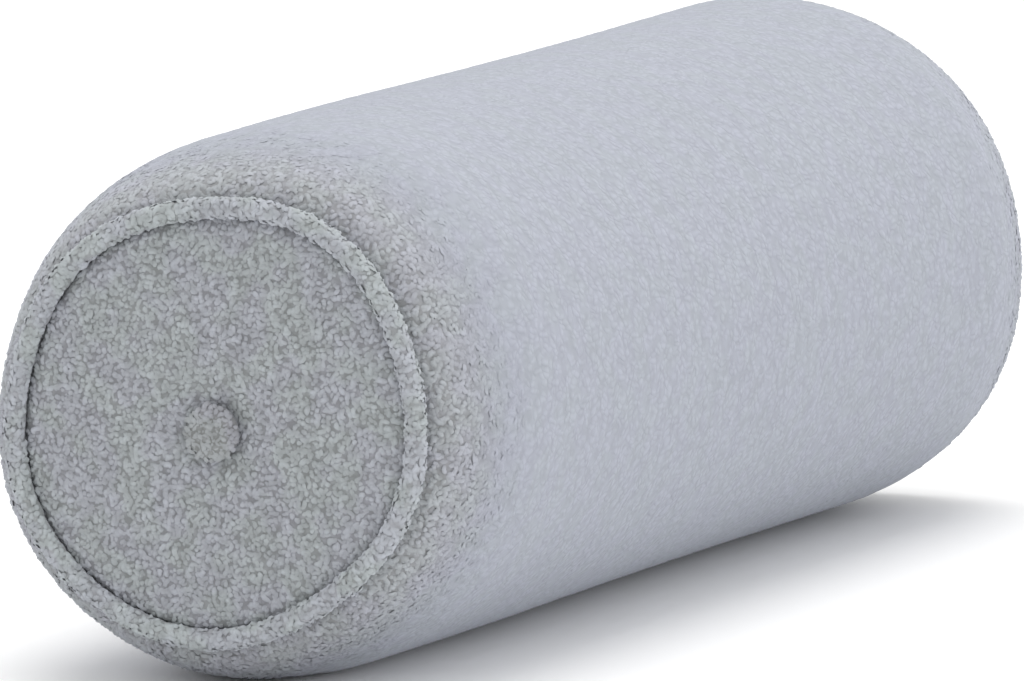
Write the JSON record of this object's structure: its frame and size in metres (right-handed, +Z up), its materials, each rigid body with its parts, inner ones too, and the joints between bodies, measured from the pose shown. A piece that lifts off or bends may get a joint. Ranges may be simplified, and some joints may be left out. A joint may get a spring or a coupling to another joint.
{
  "type": "bolster cushion",
  "caption": "Cylindrical filled cushion with drawn-in shoulders, corded end seams and a covered button in each dimpled round end.",
  "frame": {"origin": "on the surface the cushion lies on, under the middle of its bounding box", "axes": "+X along the roll, with the end seen in the picture at -X; +Z up"},
  "size_m": [0.5996, 0.2008, 0.1976],
  "materials": {
    "boucle_tube": "pale blue-grey boucle, brushed flat along the tube",
    "boucle_end": "pale grey boucle with raised nubs",
    "piping": "cord covered in pale grey boucle",
    "button": "button covered in grey boucle"
  },
  "bodies": {
    "root": {"cushion_body": "boucle_tube", "end_panel_near": "boucle_end", "end_panel_far": "boucle_end", "piping_near": "piping", "piping_far": "piping", "button_near": "button", "button_far": "button"}
  },
  "joints": []
}
